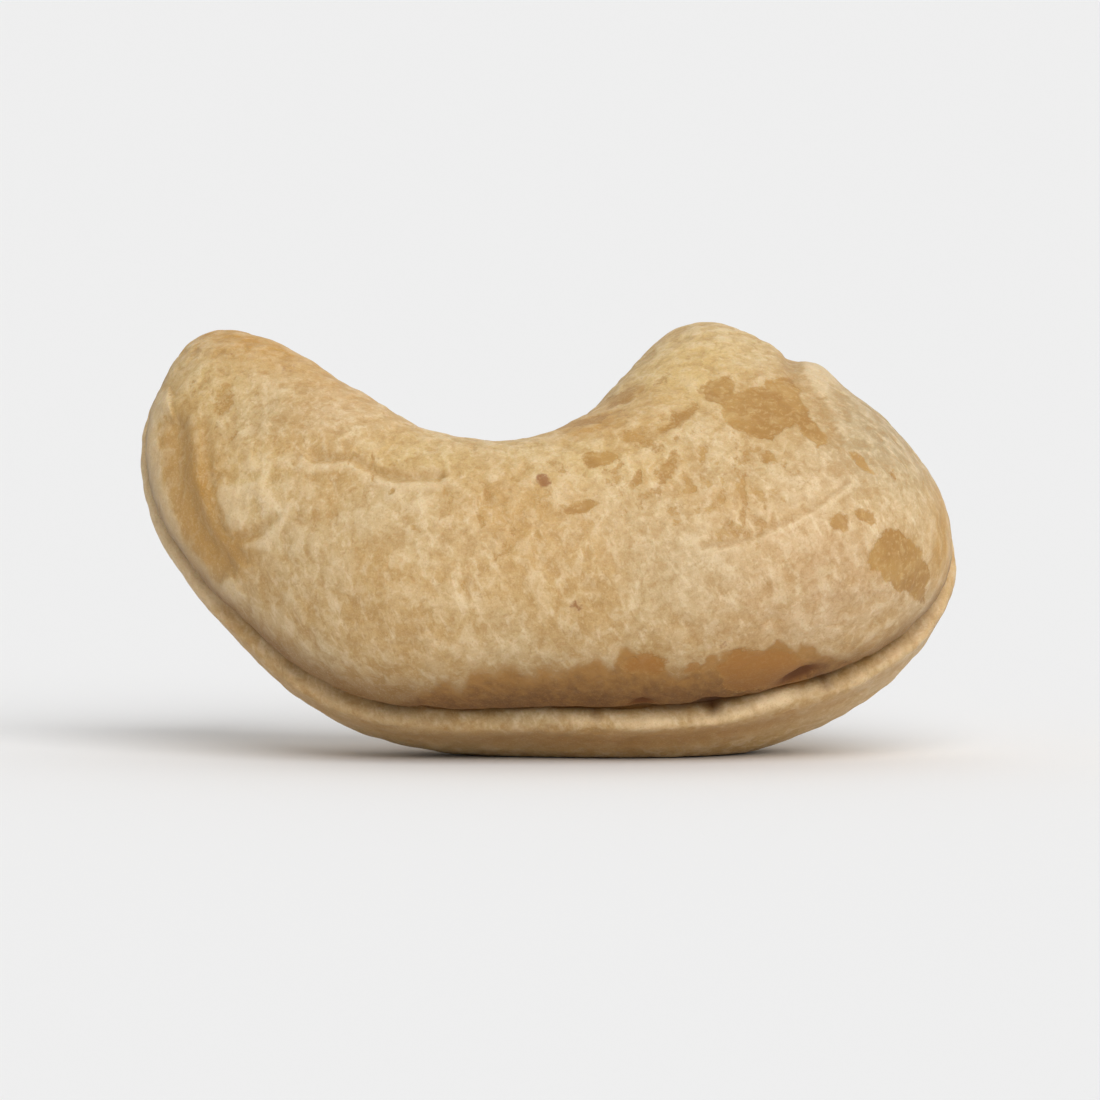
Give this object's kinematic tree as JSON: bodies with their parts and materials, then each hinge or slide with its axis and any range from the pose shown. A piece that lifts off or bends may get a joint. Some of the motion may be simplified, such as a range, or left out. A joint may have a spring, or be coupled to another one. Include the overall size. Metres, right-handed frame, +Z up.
{
  "type": "cashew nut",
  "caption": "Shelled cashew kernel: a crescent seed with two upturned lobes, a bay between them, a seam along its back and a small flat spot to rest on.",
  "frame": {"origin": "middle of the nut's box, on the surface it rests on", "axes": "+X from the slim lobe to the full lobe, +Z up, -Y the front, where the cheek and the seam along the back are seen"},
  "size_m": [0.027, 0.0134, 0.0142],
  "materials": {
    "kernel": "matte dry seed flesh, cream with golden flecks"
  },
  "bodies": {
    "root": {"kernel": "kernel"}
  },
  "joints": []
}
